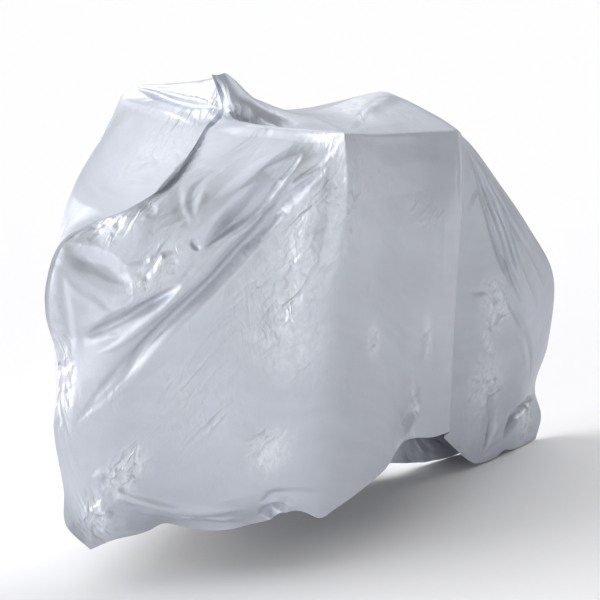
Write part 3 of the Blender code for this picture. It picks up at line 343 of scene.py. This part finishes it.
    ("panel_patch_c", "near", -0.2, 0.5, 0.6, 1.1, [(6.44, 5.0), (6.46, 5.16), (6.4, 5.32)]),
    ("top_ray_a", "near", 0.24, 0.7, 0.8, 1.1, [(4.2, 1.98), (5.06, 1.68), (6.12, 1.68)]),
    ("top_ray_b", "near", 0.09, 0.8, 0.9, 1.1, [(4.22, 2.04), (5.2, 2.04), (6.16, 2.04)]),
    ("top_ray_c", "near", 0.5, 0.7, 0.8, 1.1, [(4.38, 1.76), (5.2, 1.12), (5.86, 1.04)]),
    ("tip_a", "near", 0.48, 0.7, 0.8, 1.1, [(9.24, 5.44), (9.16, 5.64), (9.1, 5.88), (9.02, 6.64)]),
    ("tip_b", "near", 0.27, 0.7, 0.8, 1.1, [(8.86, 5.72), (8.94, 6.0), (9.02, 6.64)]),
    ("tip_c", "near", -0.63, 0.7, 0.7, 1.1, [(9.18, 5.4), (9.18, 5.68), (9.18, 6.02)]),
    ("tip_d", "near", -0.63, 0.8, 0.7, 1.1, [(9.28, 5.34), (9.34, 5.56), (9.32, 5.88), (9.2, 6.36)]),
    ("tip_e", "near", 0.54, 0.8, 0.9, 1.1, [(9.74, 5.6), (9.48, 5.9), (9.34, 6.08)]),
    ("flap_slit", "near", -1.4, 0.8, 1, 1.1, [(10.88, 6.02), (10.06, 5.76), (9.76, 5.92), (9.64, 6.16)]),
    ("flap_a", "near", -0.3, 0.7, 0.8, 1.1, [(10.76, 6.56), (10.44, 6.54), (9.98, 6.48)]),
    ("flap_b", "near", 0.23, 0.7, 0.7, 1.1, [(10.78, 6.76), (10.44, 6.78), (9.94, 6.72)]),
    ("tip_shade", "near", -0.34, 0.8, 0.8, 1.1, [(9.64, 6.18), (9.36, 6.44), (9.16, 6.72)]),
    ("belly_edge", "near", 0.54, 1.2, 1.4, 1.1, [(1.04, 5.68), (1.54, 5.84), (1.96, 5.98), (2.48, 6.16), (2.94, 6.28)]),
    ("belly_under", "near", -1.65, 1.4, 1.1, 1.1, [(1.0, 5.76), (1.52, 5.96), (1.96, 6.22), (2.48, 6.48), (2.88, 6.48)]),
    ("patch_a", "near", 0.48, 0.8, 0.8, 1.1, [(0.68, 5.6), (0.96, 5.52), (1.18, 5.6)]),
    ("patch_b", "near", 0.432, 0.8, 0.8, 1.1, [(1.04, 5.5), (1.24, 5.56), (1.48, 5.64)]),
    ("patch_c", "near", -0.432, 0.8, 0.8, 1.1, [(0.8, 5.66), (1.04, 5.6), (1.34, 5.68)]),
    ("gather_a", "near", -0.72, 0.7, 0.8, 1.1, [(0.68, 6.06), (1.04, 6.06), (1.32, 6.24)]),
    ("gather_b", "near", 0.345, 0.7, 0.7, 1.1, [(0.58, 6.32), (0.96, 6.28), (1.12, 6.56)]),
    ("gather_c", "near", 0.405, 0.8, 0.7, 1.1, [(0.5, 6.04), (0.88, 5.96), (1.2, 5.96)]),
    ("mouth_v", "near", -0.8, 0.8, 1, 1.1, [(0.16, 6.46), (0.22, 6.68), (0.2, 6.9)]),
    ("mouth_a", "near", -0.3, 0.6, 0.7, 1.1, [(0.26, 6.56), (0.32, 6.68), (0.32, 6.78)]),
    ("mouth_b", "near", -0.3, 0.6, 0.7, 1.1, [(0.64, 6.34), (0.68, 6.48), (0.66, 6.68)]),
    ("notch_top", "near", -0.54, 0.8, 0.8, 1.1, [(3.06, 6.0), (3.36, 6.02), (3.72, 6.08), (4.06, 6.16)]),
    ("notch_in", "near", -1, 1, 1.1, 1.1, [(3.12, 6.18), (3.36, 6.08), (3.54, 6.32), (3.68, 6.64)]),
    ("notch_lip", "near", 0.23, 0.8, 0.8, 1.1, [(3.18, 6.12), (3.4, 6.16), (3.7, 6.5), (3.94, 6.76)]),
]
# crinkled zones: half, centre (fall line, level), half size across and along in cm, turn in degrees, height in mm,
# crease spacing across and along in cm
ZONES = [
    ("seam_left", "far", (0.5, 2.4), (8, 13), -10, 0.3, 2.2, 7.0),
    ("seam_right", "near", (0.35, 2.5), (4, 9), -10, 1.6, 1.4, 3.6),
    ("nose_crush", "near", (0.25, 3.12), (9, 5), 40, 0.8, 2.4, 4.2),
    ("knuckles", "near", (0.6, 2.9), (5, 4), 30, 0.6, 2.0, 3.0),
    ("hand", "near", (1.3, 3.55), (9, 5), 50, 0.5, 2.0, 4.0),
    ("weld_low", "near", (0.1, 4.2), (3, 14), 0, 1.8, 2.0, 6.0),
    ("nose_wide", "near", (1.1, 3.3), (15, 12), -30, 0.3, 3.4, 7.0),
    ("centre_top", "near", (3.62, 3.1), (4, 13), -45, 0.8, 1.4, 4.2),
    ("centre_mid", "near", (3.35, 3.75), (7, 7), -50, 1.1, 1.5, 4.2),
    ("centre_arcs", "near", (3.3, 4.25), (8, 4), 80, 1.2, 1.2, 4.5),
    ("brow_soft", "near", (1.7, 2.4), (15, 9), -30, 0.25, 3.4, 5.0),
    ("centre_wide", "near", (3.45, 3.6), (13, 28), -30, 0.35, 3.0, 7.0),
    ("centre_low", "near", (3.2, 4.6), (11, 8), -25, 0.6, 1.9, 4.4),
    ("right_small_a", "near", (4.8, 4.7), (3, 4.5), -15, 1.0, 1.3, 3.2),
    # the next two narrow zones pale the colour along the curtain's S-fold and on the rear facet: painted highlight
    ("curtain_painted_highlight", "near", (6.15, 6.0), (1.3, 9), 14, 0.8, 1.3, 3.2),
    ("facet_painted_highlight", "near", (9.2, 4.8), (1.7, 4.5), 24, 1.2, 1.6, 3.0),
    ("right_small_b", "near", (6.35, 5.05), (2.2, 5.5), 12, 1.0, 1.3, 3.2),
    ("right_streaks", "near", (5.4, 4.4), (16, 22), 0, 0.3, 1.1, 14.0),
    ("low_patch", "near", (3.2, 5.6), (5, 6), -30, 1.0, 2.0, 3.6),
    ("low_wide", "near", (2.2, 5.0), (14, 12), -30, 0.1, 3.0, 6.0),
    ("front_patch", "near", (1.2, 5.55), (8, 4.5), 60, 4.2, 2.2, 4.0),
    ("front_mouth", "near", (0.7, 6.3), (10, 6), 60, 5.0, 2.0, 4.5),
    ("rear_crush", "near", (9.35, 4.3), (5, 8), 25, 3.8, 1.8, 4.0),
    ("rear_low", "near", (9.2, 5.3), (7, 8), 0, 3.2, 2.0, 5.0),
    ("rear_flap", "near", (10.4, 6.2), (7, 7), -40, 4.0, 2.2, 4.4),
    ("far_inside", "far", (8.2, 6.6), (24, 7), 60, 4.5, 2.4, 6.0),
    ("saddle_back", "near", (5.4, 0.7), (10, 4), 60, 1.4, 2.2, 5.0),
    ("ear_left", "far", (0.3, 0.6), (4, 5), 0, 2.4, 1.8, 4.0),
    ("far_centre", "far", (3.6, 3.6), (14, 18), 25, 1.6, 2.6, 6.0),
    ("far_nose", "far", (1.2, 3.6), (10, 10), -30, 1.8, 2.6, 5.0),
    ("far_brow_soft", "far", (0.9, 2.0), (13, 11), 25, 0.35, 3.4, 6.0),
    ("far_rear", "far", (9.4, 4.6), (8, 12), 10, 1.8, 2.4, 6.0),
    ("near_film", "near", (5.0, 3.8), (120, 60), -8, 0.5, 8.0, 24.0),
    ("far_film", "far", (5.0, 3.8), (120, 60), 8, 1.2, 8.0, 24.0),
]
# where the film beside a weld is drawn in behind it: half, from and to level, depth and width in cm
TUCKS = [
    ("ear_line", "near", 0.10, 1.02, 0.6, 0.5),
    ("wedge", "near", 0.98, 1.98, 1.3, 0.5),
    ("seam", "near", 1.94, 2.72, 1.1, 0.35),
    ("nose_arc", "near", 2.95, 3.30, 0.6, 0.35),
    ("nose_edge", "near", 3.22, 3.90, 0.5, 0.45),
    ("far_ear_line", "far", 0.10, 1.00, 0.6, 0.8),
]


def fold_relief(grid, normals, rows, half, u, v, folds, weld_fade=0.3, crown_fade=0.35):
    """Outward displacement, in metres, that the folds of one half give each point of its grid."""
    relief = np.zeros(grid.shape[:2])
    uu, vv = np.meshgrid(u, v, indexing="ij")
    for name, side, depth, left, right, power, path in folds:
        if side != half:
            continue
        path = np.array(path, float)
        t = np.linspace(0.0, len(path) - 1.0, (len(path) - 1) * 6 + 1)
        run = film_at(rows, spline(np.arange(len(path)), path, t))
        reach = 2.6 * max(left, right) * CM
        window = (uu > path[:, 0].min() - 1.2) & (uu < path[:, 0].max() + 1.2)
        window &= (vv > path[:, 1].min() - 1.2) & (vv < path[:, 1].max() + 1.2)
        window &= np.all((grid > run.min(axis=0) - reach) & (grid < run.max(axis=0) + reach), axis=2)
        if not window.any():
            continue
        p, n = grid[window], normals[window]
        a, ab = run[:-1], np.diff(run, axis=0)
        length = np.linalg.norm(ab, axis=1)
        s = np.einsum("pki,ki->pk", p[:, None] - a[None], ab) / np.maximum(length**2, 1e-12)
        s = np.clip(s, 0.0, 1.0)
        away = p[:, None] - (a[None] + s[..., None] * ab[None])
        dist = np.linalg.norm(away, axis=2)
        k = np.argmin(dist, axis=1)
        i = np.arange(len(p))
        hand = np.einsum("pi,pi->p", np.cross(ab[k], n), away[i, k])
        start = np.concatenate([[0.0], np.cumsum(length)])
        where = (start[k] + s[i, k] * length[k]) / start[-1]
        taper = np.clip(1.3 * np.sin(np.pi * np.clip(where, 0.0, 1.0)), 0.0, 1.0)
        width = np.where(hand > 0, right, left) * CM * (0.25 + 0.75 * taper)
        x = dist[i, k] / width
        tent = np.clip(1.0 - x / 1.8, 0.0, 1.0)
        relief[window] += depth * CM * np.where(power < 1.35, tent, np.exp(-(x ** power))) * taper
    fade = np.clip(np.minimum(uu, len(CROWN) - 1 - uu) / weld_fade, 0, 1) * np.clip(vv / crown_fade, 0, 1)
    return relief * fade


def stations(strips):
    """Rising parameters with the given number of strips between whole numbers."""
    return np.concatenate([[i + j / n for j in range(n)] for i, n in enumerate(strips)] + [[float(len(strips))]])


def quads(ids, outwards_ccw):
    """Two triangles per cell of a grid of point numbers."""
    faces = []
    for i in range(ids.shape[0] - 1):
        for j in range(ids.shape[1] - 1):
            a, b, c, d = int(ids[i, j]), int(ids[i, j + 1]), int(ids[i + 1, j + 1]), int(ids[i + 1, j])
            rising = ((i + j) % 2 or i + j == 0) and not (j == 0 and i == ids.shape[0] - 2)
            cell = [(a, b, c), (a, c, d)] if rising else [(a, b, d), (b, c, d)]
            faces += cell if outwards_ccw else [f[::-1] for f in cell]
    return faces


def room_behind(points, normals, tree, skip=1e-4):
    """Distance from each point, straight inwards, to the next layer of the bag."""
    room = np.full(len(points), 1.0)
    for i, (p, n) in enumerate(zip(points, normals)):
        inwards = -Vector(n)
        hit = tree.ray_cast(Vector(p) + inwards * skip, inwards, 1.0)
        if hit[0] is not None:
            room[i] = hit[3] + skip
    return room


def folded(half, other, rows, side, u, v, folds):
    """One half of the bag with its folds, none of them pressed through the half behind it."""
    normals = outward(half, side)
    relief = fold_relief(half, normals, rows, "near" if side < 0 else "far", u, v, folds)
    ids = np.arange(half.shape[0] * half.shape[1]).reshape(half.shape[:2])
    behind = BVHTree.FromPolygons([Vector(p) for p in other.reshape(-1, 3)], quads(ids, True))
    room = room_behind(half.reshape(-1, 3), normals.reshape(-1, 3), behind).reshape(relief.shape)
    limit = 0.4 * room + 1e-6
    relief = np.where(relief < 0.0, -limit * np.tanh(-relief / limit), relief)
    return half + normals * relief[..., None]


# ---------------------------------------------------------------- film halves
def flat_coordinates(grid):
    """Where each point lay on the flat film, metres: along the bag, and down from the top fold."""
    along = np.zeros(grid.shape[:2])
    down = np.zeros(grid.shape[:2])
    along[1:] = np.cumsum(np.linalg.norm(np.diff(grid, axis=0), axis=2), axis=0)
    down[:, 1:] = np.cumsum(np.linalg.norm(np.diff(grid, axis=1), axis=2), axis=1)
    middle = along[:, along.shape[1] // 2]
    return np.repeat(middle[:, None], grid.shape[1], axis=1), down


def crinkle(grid, u, v, half):
    """Irregular small folds, metres: creased cells stretched along each zone's own direction."""
    s, t = flat_coordinates(grid)
    total, crushed = np.zeros(grid.shape[:2]), np.zeros(grid.shape[:2])
    for number, (name, side, at, size, turn, height, across, along_) in enumerate(ZONES):
        if side != half:
            continue
        i = int(np.argmin(abs(u - at[0])))
        j = int(np.argmin(abs(v - at[1])))
        ds, dt = s - s[i, j], t - t[i, j]
        c, q = math.cos(math.radians(turn)), math.sin(math.radians(turn))
        a, b = ds * c - dt * q, ds * q + dt * c          # a across the streaks, b along them
        mask = np.exp(-((a / (size[0] * CM)) ** 2 + (b / (size[1] * CM)) ** 2) ** 1.5)
        pick = mask > 0.02
        pa, pb = a[pick] / (across * CM), b[pick] / (along_ * CM)
        seed = 7.31 * number
        value = np.array([creased(x, y, seed) for x, y in zip(pa, pb)])
        total[pick] += height * 0.1 * CM * mask[pick] * value
        # narrow zones mark crushed film, which the material colours paler: partly the creased film's own tone, partly
        # painted highlight
        if size[0] < 15:
            crushed = np.maximum(crushed, mask * min(1.0, 0.25 + 0.75 * height))
    return total, crushed


def creased(x, y, seed):
    """Hollow cells that meet in straight sharp ridges, with smaller ones the other way up on them."""
    wx = x + 0.30 * noise.noise(Vector((x * 0.7, y * 0.7, seed + 3.7)))
    wy = y + 0.30 * noise.noise(Vector((x * 0.7, y * 0.7, seed + 9.1)))
    big = noise.voronoi(Vector((wx, wy, seed)))[0][0]
    small = noise.voronoi(Vector((wx * 2.3, wy * 2.1, seed + 5.0)))[0][0]
    return 1.8 * (big * big - 0.33) - 0.6 * (small * small - 0.33)


def tucked(grid, rows, u, v, half):
    """How far the film is drawn in beside the front weld, metres, with a crumpled edge to it."""
    total = np.zeros(grid.shape[:2])
    beside = u < 3.0
    for name, side, top, bottom, depth, width in TUCKS:
        if side != half:
            continue
        levels = np.linspace(top, bottom, 60)
        run = film_at(rows, np.stack([np.zeros(60), levels], 1))
        points = grid[beside].reshape(-1, 3)
        near = np.all((points > run.min(0) - 4 * width * CM) & (points < run.max(0) + 4 * width * CM), axis=1)
        p = points[near]
        a, ab = run[:-1], np.diff(run, axis=0)
        s = np.einsum("pki,ki->pk", p[:, None] - a[None], ab) / np.maximum(np.einsum("ki,ki->k", ab, ab), 1e-12)
        s = np.clip(s, 0.0, 1.0)
        dist = np.linalg.norm(p[:, None] - (a[None] + s[..., None] * ab[None]), axis=2)
        k = np.argmin(dist, axis=1)
        i = np.arange(len(p))
        where = (k + s[i, k]) / (len(run) - 1)
        taper = np.sqrt(np.clip(np.sin(np.pi * where), 0.0, 1.0))
        crumple = np.array([1.0 + 0.45 * noise.noise(Vector((w * 14.0, 1.3 + depth, 0.0)))
                            + 0.25 * noise.noise(Vector((w * 37.0, 7.7, depth))) for w in where])
        x = dist[i, k] / (width * CM * crumple)
        drop = np.zeros(len(points))
        drop[near] = depth * CM * taper * x * np.exp(1.0 - x)
        whole = np.zeros(grid.shape[:2])
        whole[beside] = drop.reshape(-1, grid.shape[1])
        total -= whole
    return total


def build_half(name, own, other, side):
    u, v = stations(STRIPS_ROUND), stations(STRIPS_DOWN)
    bare = film(own, u, v)
    grid = folded(bare, film(other, u, v), own, side, u, v, FOLDS)
    fine = outward(grid, side)
    half = "near" if side < 0 else "far"
    relief = fold_relief(bare, outward(bare, side), own, half, u, v, FINE, 0.07, 0.12)
    uu, vv = np.meshgrid(u, v, indexing="ij")
    fade = np.clip(np.minimum(uu, len(CROWN) - 1 - uu) / 0.12, 0, 1) * np.clip(vv / 0.15, 0, 1)
    crinkled, crushed = crinkle(grid, u, v, half)
    relief = relief + crinkled * fade + tucked(grid, own, u, v, half)
    grid = grid + fine * relief[..., None] + SHIFT
    ids = np.arange(grid.shape[0] * grid.shape[1]).reshape(grid.shape[:2])
    mesh = bpy.data.meshes.new(name)
    cells = []
    for i in range(ids.shape[0] - 1):
        low, high = ids[i].tolist(), ids[i + 1].tolist()
        if side < 0:
            cells += [(low[j], low[j + 1], high[j + 1], high[j]) for j in range(len(low) - 1)]
        else:
            cells += [(low[j], high[j], high[j + 1], low[j + 1]) for j in range(len(low) - 1)]
    mesh.from_pydata(grid.reshape(-1, 3).tolist(), [], cells)
    s, t = flat_coordinates(grid)
    layer = mesh.uv_layers.new(name="flat")
    loops = np.empty(len(mesh.loops), np.int32)
    mesh.loops.foreach_get("vertex_index", loops)
    flat = np.stack([s.reshape(-1), t.reshape(-1)], 1)[loops]
    layer.data.foreach_set("uv", flat.astype(np.float32).reshape(-1))
    mesh.attributes.new("crushed", "FLOAT", "POINT").data.foreach_set("value", crushed.astype(np.float32).reshape(-1))
    mesh.shade_smooth()
    piece = bpy.data.objects.new(name, mesh)
    bpy.context.scene.collection.objects.link(piece)
    return piece


# ---------------------------------------------------------------- silver film material
def silver_film():
    """Aluminium-pigmented polythene: satin, faintly mottled, with fine sharp crinkles where the film was crushed,
    coloured paler there partly as painted highlight.
    """
    material = bpy.data.materials.new("silver_film_look")
    material.use_nodes = True
    tree = material.node_tree
    shader = tree.nodes["Principled BSDF"]
    shader.inputs["Metallic"].default_value = 0.50
    shader.inputs["IOR"].default_value = 1.5

    def node(kind, **values):
        n = tree.nodes.new(kind)
        for key, value in values.items():
            if key in n.inputs:
                n.inputs[key].default_value = value
            else:
                setattr(n, key, value)
        return n

    def link(a, b):
        tree.links.new(a, b)

    def math_node(kind, a, b, c=None):
        n = node("ShaderNodeMath", operation=kind)
        for place, value in enumerate((a, b, c)):
            if value is None:
                continue
            if isinstance(value, (int, float)):
                n.inputs[place].default_value = value
            else:
                link(value, n.inputs[place])
        return n.outputs["Value"]

    uv = node("ShaderNodeUVMap", uv_map="flat").outputs["UV"]

    # pigment: broad clouds and faint streaks along the film's length
    clouds = node("ShaderNodeTexNoise", Scale=4.0, Detail=4.0, Roughness=0.6)
    link(uv, clouds.inputs["Vector"])
    streaks = node("ShaderNodeTexNoise", Scale=26.0, Detail=3.0, Roughness=0.6)
    drawn = node("ShaderNodeMapping")
    drawn.inputs["Scale"].default_value = (0.12, 1.0, 1.0)
    link(uv, drawn.inputs["Vector"])
    link(drawn.outputs["Vector"], streaks.inputs["Vector"])
    pigment = math_node("MULTIPLY_ADD", streaks.outputs["Fac"], 0.35, math_node("MULTIPLY", clouds.outputs["Fac"], 0.65))
    tint = node("ShaderNodeValToRGB")
    tint.color_ramp.elements[0].position, tint.color_ramp.elements[1].position = 0.36, 0.64
    tint.color_ramp.elements[0].color = (0.495, 0.518, 0.575, 1.0)
    tint.color_ramp.elements[1].color = (0.555, 0.580, 0.642, 1.0)
    link(pigment, tint.inputs["Fac"])

    gloss = node("ShaderNodeMapRange")
    gloss.inputs["To Min"].default_value = 0.49
    gloss.inputs["To Max"].default_value = 0.41
    link(clouds.outputs["Fac"], gloss.inputs["Value"])
    link(gloss.outputs["Result"], shader.inputs["Roughness"])

    # crushed: the film's own record of where it was creased, from the mesh; a little is everywhere. It sets the crinkle
    # bump and the paler colour, which is partly painted highlight
    crushed = node("ShaderNodeAttribute", attribute_name="crushed")
    where = node("ShaderNodeTexNoise", Scale=6.0, Detail=2.0)
    link(uv, where.inputs["Vector"])
    patchy = node("ShaderNodeMapRange")
    patchy.inputs["From Min"].default_value = 0.52
    patchy.inputs["From Max"].default_value = 0.72
    patchy.inputs["To Max"].default_value = 0.35
    link(where.outputs["Fac"], patchy.inputs["Value"])
    amount = math_node("ADD", crushed.outputs["Fac"], patchy.outputs["Result"])

    # crushed film is coloured paler: partly the creased film's own paler tone, partly painted highlight standing for
    # the glints on the crinkles
    pale_and_painted_highlight = node("ShaderNodeMix", data_type="RGBA")
    mottle = node("ShaderNodeTexNoise", Scale=42.0, Detail=4.0, Roughness=0.65)
    link(uv, mottle.inputs["Vector"])
    broken = node("ShaderNodeMapRange")
    broken.inputs["From Min"].default_value = 0.38
    broken.inputs["From Max"].default_value = 0.60
    broken.inputs["To Min"].default_value = 0.4
    link(mottle.outputs["Fac"], broken.inputs["Value"])
    link(math_node("MULTIPLY", crushed.outputs["Fac"], broken.outputs["Result"]), pale_and_painted_highlight.inputs[0])
    link(tint.outputs["Color"], pale_and_painted_highlight.inputs[6])
    pale_and_painted_highlight.inputs[7].default_value = (0.68, 0.703, 0.762, 1.0)
    link(pale_and_painted_highlight.outputs[2], shader.inputs["Base Color"])

    # each crinkle is a sharp ridge between two plane facets: folded noise, bent by a slower one
    warp = node("ShaderNodeTexNoise", Scale=9.0, Detail=2.0)
    link(uv, warp.inputs["Vector"])
    bend = node("ShaderNodeVectorMath", operation="MULTIPLY_ADD")
    bend.inputs[1].default_value = (0.05, 0.05, 0.0)
    link(warp.outputs["Color"], bend.inputs[0])
    link(uv, bend.inputs[2])

    def facets(scale, squeeze, turn):
        turned = node("ShaderNodeMapping")
        turned.inputs["Rotation"].default_value = (0.0, 0.0, math.radians(turn))
        link(bend.outputs["Vector"], turned.inputs["Vector"])
        place = node("ShaderNodeMapping")
        place.inputs["Scale"].default_value = (1.0, squeeze, 1.0)
        link(turned.outputs["Vector"], place.inputs["Vector"])
        folds = node("ShaderNodeTexNoise", Scale=scale, Detail=2.0, Roughness=0.5, Distortion=0.4)
        link(place.outputs["Vector"], folds.inputs["Vector"])
        return math_node("ABSOLUTE", math_node("SUBTRACT", folds.outputs["Fac"], 0.5), 0.0)

    crinkles = math_node("MULTIPLY_ADD", facets(38.0, 0.40, 15.0), -0.6, math_node("MULTIPLY", facets(20.0, 0.32, -45.0), -1.6))
    deep = math_node("MULTIPLY", crinkles, amount)
    skin = node("ShaderNodeTexNoise", Scale=160.0, Detail=3.0, Roughness=0.6)
    link(uv, skin.inputs["Vector"])
    height = math_node("MULTIPLY_ADD", skin.outputs["Fac"], 0.025, deep)
    bump = node("ShaderNodeBump", Strength=1.0, Distance=0.014)
    link(height, bump.inputs["Height"])
    link(bump.outputs["Normal"], shader.inputs["Normal"])
    return material


film_look = silver_film()
near = build_half("film_near_half", NEAR, FAR, -1)
far = build_half("film_far_half", FAR, NEAR, 1)
for piece, flat in ((near, (2.10, 1.15)), (far, (2.10, 1.15))):
    piece.data.materials.append(film_look)
    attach(piece, "root")
    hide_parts("film_cover")

# ---------------------------------------------------------------- floor, light and camera
FLOOR_Z = cad_box[0][2]


def plain(name, colour, roughness=0.9):
    material = bpy.data.materials.new(name)
    material.use_nodes = True
    shader = material.node_tree.nodes["Principled BSDF"]
    shader.inputs["Base Color"].default_value = (*colour, 1.0)
    shader.inputs["Roughness"].default_value = roughness
    return material


mesh = bpy.data.meshes.new("floor")
mesh.from_pydata([(-14, -14, FLOOR_Z), (14, -14, FLOOR_Z), (14, 14, FLOOR_Z), (-14, 14, FLOOR_Z)], [], [(0, 1, 2, 3)])
floor = bpy.data.objects.new("floor", mesh)
floor.data.materials.append(plain("pale_floor", (0.86, 0.86, 0.87)))
bpy.context.scene.collection.objects.link(floor)


def sky_light(name, towards, spread, strength, colour=(1, 1, 1)):
    """A wide soft light from one direction, as from a large diffuser."""
    lamp = bpy.data.lights.new(name, "SUN")
    lamp.energy = strength
    lamp.angle = math.radians(spread)
    lamp.color = colour
    body = bpy.data.objects.new(name, lamp)
    body.rotation_euler = Vector(towards).to_track_quat("Z", "Y").to_euler()
    bpy.context.scene.collection.objects.link(body)
    return body


sky_light("left_low", (-0.83, 0.50, 0.02), 50.0, 4.0)
sky_light("left", (-0.69, 0.51, 0.45), 50.0, 1.7)
sky_light("left_front", (-0.95, -0.14, 0.15), 50.0, 1.5)
sky_light("front_low", (-0.15, -0.98, 0.06), 36.0, 0.62)
sky_light("left_high", (-0.37, 0.34, 0.85), 50.0, 0.38)
sky_light("back_high", (0.48, 0.51, 0.70), 50.0, 0.90)
sky_light("right_back", (0.78, -0.04, 0.60), 50.0, 0.95)

world = bpy.data.worlds.new("studio")
bpy.context.scene.world = world
world.use_nodes = True
world.node_tree.nodes["Background"].inputs["Color"].default_value = (1.0, 1.0, 1.02, 1.0)
world.node_tree.nodes["Background"].inputs["Strength"].default_value = 0.16
bpy.context.scene.view_settings.view_transform = "Standard"

# the camera stands 43 degrees round from the side towards the front wheel, 15 degrees up
lens = bpy.data.cameras.new("camera")
lens.sensor_width = 36.0
lens.lens = 120.0
camera = bpy.data.objects.new("camera", lens)
azimuth, elevation = math.radians(-43.0), math.radians(15.0)
back = Vector((math.sin(azimuth) * math.cos(elevation), -math.cos(azimuth) * math.cos(elevation), math.sin(elevation)))
right = Vector((math.cos(azimuth), math.sin(azimuth), 0.0))
up = back.cross(right)
target = Vector((-0.09, -0.007, 0.543)) + Vector(SHIFT)
place = target + back * 4.939
camera.matrix_world = Matrix((
    (right.x, up.x, back.x, place.x), (right.y, up.y, back.y, place.y), (right.z, up.z, back.z, place.z), (0, 0, 0, 1)))
bpy.context.scene.collection.objects.link(camera)
bpy.context.scene.camera = camera
